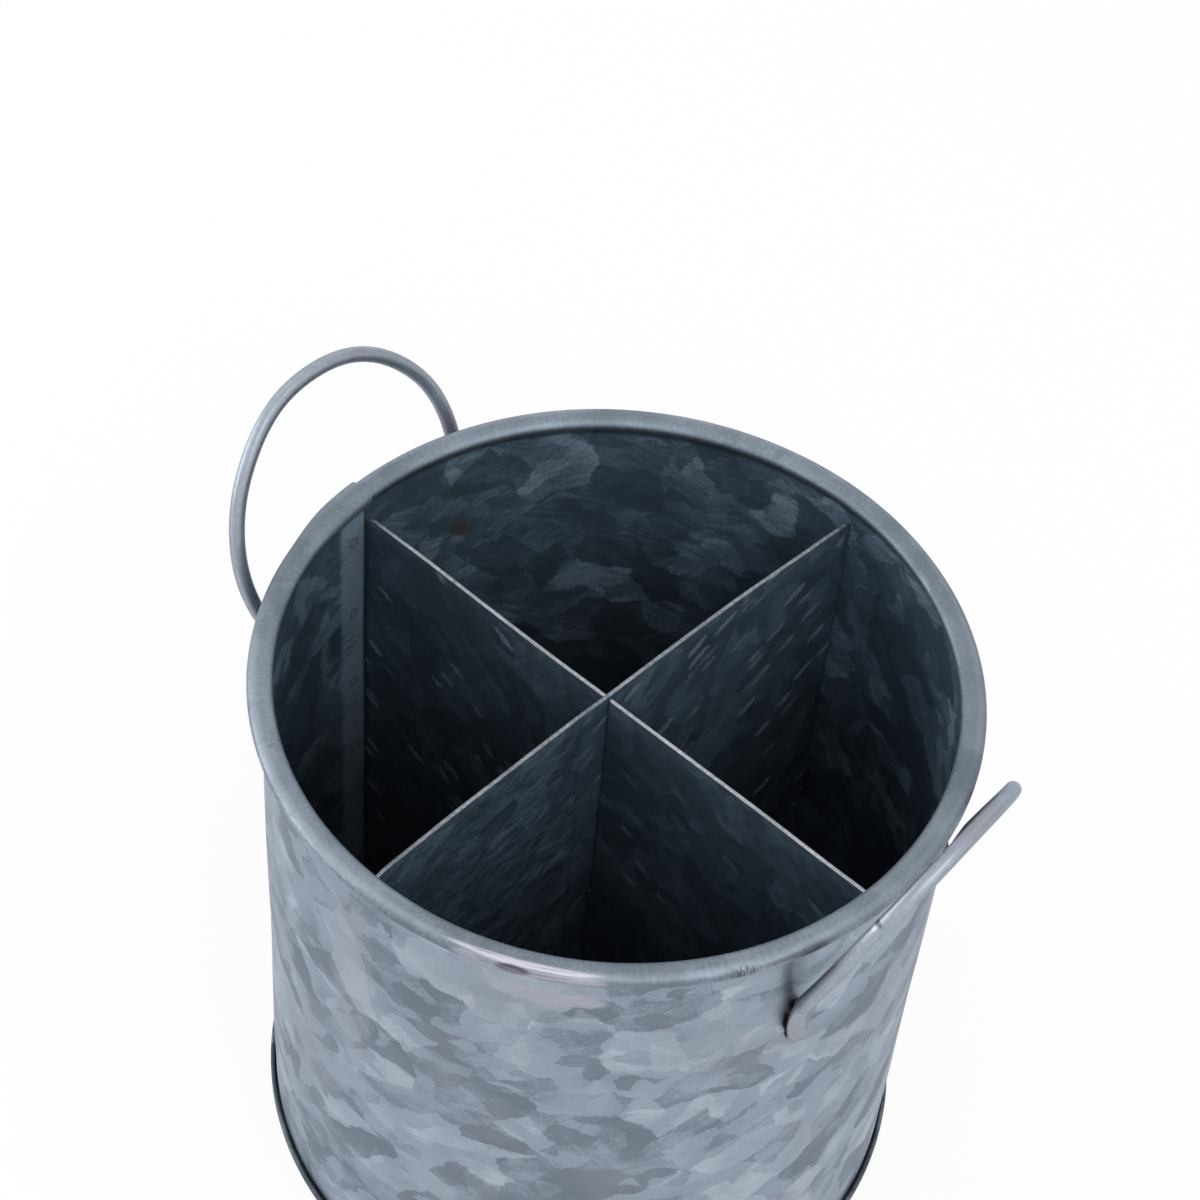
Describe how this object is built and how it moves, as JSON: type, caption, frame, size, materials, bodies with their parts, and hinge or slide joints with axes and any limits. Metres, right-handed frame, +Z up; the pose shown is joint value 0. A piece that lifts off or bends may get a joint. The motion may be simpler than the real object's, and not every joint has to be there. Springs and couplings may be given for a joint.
{
  "type": "cutlery caddy",
  "caption": "Round galvanised steel caddy with a rolled rim, a crossed divider that parts it into compartments for standing cutlery, and fixed wire loop handles.",
  "frame": {"origin": "middle of the flat underside that stands on the table", "axes": "+Z up along the caddy's axis, +X towards the front handle, with the lapped seam and the other handle at -X"},
  "size_m": [0.1826, 0.1559, 0.1734],
  "materials": {
    "spangled_zinc": "satin hot-dip zinc with spangle",
    "foot_zinc": "dull dark zinc",
    "divider_zinc": "dull dark zinc with bright cut edges",
    "handle_zinc": "satin zinc-coated wire"
  },
  "bodies": {
    "root": {"body_wall": "spangled_zinc", "base_pan": "foot_zinc", "divider_plate_under": "divider_zinc", "divider_plate_over": "divider_zinc", "handle_front": "handle_zinc", "handle_back": "handle_zinc"}
  },
  "joints": []
}
